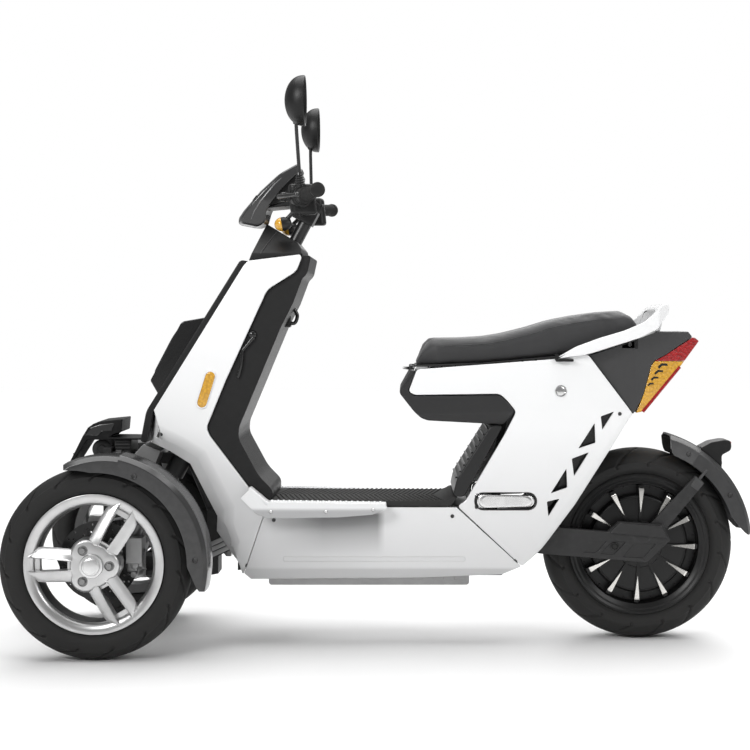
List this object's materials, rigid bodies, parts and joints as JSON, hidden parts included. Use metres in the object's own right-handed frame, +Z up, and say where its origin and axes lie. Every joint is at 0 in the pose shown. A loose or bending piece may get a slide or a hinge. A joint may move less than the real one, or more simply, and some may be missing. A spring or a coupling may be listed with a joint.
{
  "type": "three-wheeled electric scooter",
  "caption": "Electric scooter trike with steered front wheels on wishbones, a hub-motor rear wheel, step-through floor, hinged seat over a storage tub and folding passenger pegs.",
  "frame": {"origin": "on the floor, at the centre of the whole object's box", "axes": "+X to the rear, +Y to the rider's right, +Z up; the scooter faces -X"},
  "size_m": [1.9104, 0.712, 1.4415],
  "materials": {
    "white_panel": "gloss white paint on moulded panels",
    "black_plastic": "fine-grained black",
    "gloss_black": "polished black",
    "frame_black": "satin black powder coat",
    "dark_fender": "dark grey, polished",
    "bright_rim": "polished casting",
    "black_rim": "satin black",
    "tyre": "matt",
    "grey_alloy": "machined and bead-blasted",
    "foot_alloy": "white-silver satin",
    "rail_white": "gloss white",
    "seat_leather": "grained black",
    "mat_rubber": "ribbed",
    "lamp_red": "clear red and amber lens",
    "amber": "clear amber lens"
  },
  "bodies": {
    "chassis": {"main_frame": "frame_black", "front_subframe": "frame_black", "seat_frame": "frame_black", "battery_box": "frame_black", "front_side_panel_left": "white_panel", "front_side_panel_right": "white_panel", "floor_skirts": "white_panel", "rear_side_panel_left": "white_panel", "rear_side_panel_right": "white_panel", "front_cover": "gloss_black", "head_lamp": "gloss_black", "nose_fairing": "black_plastic", "neck_cover": "black_plastic", "inner_shield": "black_plastic", "floor_mat": "mat_rubber", "step_riser": "black_plastic", "foot_plates": "foot_alloy", "seat_box_cover": "black_plastic", "storage_tub": "black_plastic", "tail_cover": "black_plastic", "tail_lamp": "lamp_red", "grab_rail": "rail_white", "swing_arm": "frame_black", "rear_fender": "dark_fender", "wishbones": "grey_alloy", "front_shocks": "frame_black"},
    "steering": {"handlebar": "frame_black", "grips": "mat_rubber", "hand_controls": "black_plastic", "mirrors": "black_plastic", "head_fairing": "gloss_black", "dashboard": "black_plastic", "front_indicators": "amber"},
    "knuckle_left": {"knuckle_left": "grey_alloy", "front_fender_left": "dark_fender"},
    "tie_rod_left": {"tie_rod_left": "grey_alloy"},
    "front_wheel_left": {"front_rim_left": "bright_rim", "front_tyre_left": "tyre"},
    "knuckle_right": {"knuckle_right": "grey_alloy", "front_fender_right": "dark_fender"},
    "tie_rod_right": {"tie_rod_right": "grey_alloy"},
    "front_wheel_right": {"front_rim_right": "bright_rim", "front_tyre_right": "tyre"},
    "rear_wheel": {"rear_rim": "black_rim", "rear_tyre": "tyre"},
    "seat": {"seat_cushion": "seat_leather", "seat_pan": "black_plastic"},
    "peg_left": {"passenger_peg_left": "foot_alloy"},
    "peg_right": {"passenger_peg_right": "foot_alloy"}
  },
  "joints": [
    {"name": "steering_turn", "type": "hinge", "parent": "chassis", "child": "steering", "pos_m": [-0.43224, 0, 0.6807], "axis": [0.4648, 0, 0.8854], "range_deg": [-30, 30]},
    {"name": "knuckle_left_turn", "type": "hinge", "parent": "chassis", "child": "knuckle_left", "pos_m": [-0.66466, -0.205, 0.238], "axis": [0.4648, 0, 0.8854], "range_deg": [-30, 30]},
    {"name": "tie_rod_left_pivot", "type": "hinge", "parent": "knuckle_left", "child": "tie_rod_left", "pos_m": [-0.6555, -0.205, 0.38453], "axis": [0.4648, 0, 0.8854], "range_deg": [-30, 30]},
    {"name": "front_wheel_left_spin", "type": "hinge", "parent": "knuckle_left", "child": "front_wheel_left", "pos_m": [-0.713, -0.275, 0.238], "axis": [0, 1, 0], "continuous": true},
    {"name": "knuckle_right_turn", "type": "hinge", "parent": "chassis", "child": "knuckle_right", "pos_m": [-0.66466, 0.205, 0.238], "axis": [0.4648, 0, 0.8854], "range_deg": [-30, 30]},
    {"name": "tie_rod_right_pivot", "type": "hinge", "parent": "knuckle_right", "child": "tie_rod_right", "pos_m": [-0.66293, 0.205, 0.37037], "axis": [0.4648, 0, 0.8854], "range_deg": [-30, 30]},
    {"name": "front_wheel_right_spin", "type": "hinge", "parent": "knuckle_right", "child": "front_wheel_right", "pos_m": [-0.713, 0.275, 0.238], "axis": [0, 1, 0], "continuous": true},
    {"name": "rear_wheel_spin", "type": "hinge", "parent": "chassis", "child": "rear_wheel", "pos_m": [0.665, 0, 0.25], "axis": [0, 1, 0], "continuous": true},
    {"name": "seat_lid", "type": "hinge", "parent": "chassis", "child": "seat", "pos_m": [0.066, 0, 0.7145], "axis": [0, -1, 0], "range_deg": [0, 65]},
    {"name": "peg_left_fold", "type": "hinge", "parent": "chassis", "child": "peg_left", "pos_m": [0.24, -0.145, 0.374], "axis": [0, 0, -1], "range_deg": [0, 80]},
    {"name": "peg_right_fold", "type": "hinge", "parent": "chassis", "child": "peg_right", "pos_m": [0.24, 0.145, 0.374], "axis": [0, 0, 1], "range_deg": [0, 80]}
  ],
  "couplings": [
    {"joint": "knuckle_left_turn", "follows": "steering_turn", "ratio": 1},
    {"joint": "tie_rod_left_pivot", "follows": "steering_turn", "ratio": -1},
    {"joint": "knuckle_right_turn", "follows": "steering_turn", "ratio": 1},
    {"joint": "tie_rod_right_pivot", "follows": "steering_turn", "ratio": -1}
  ]
}
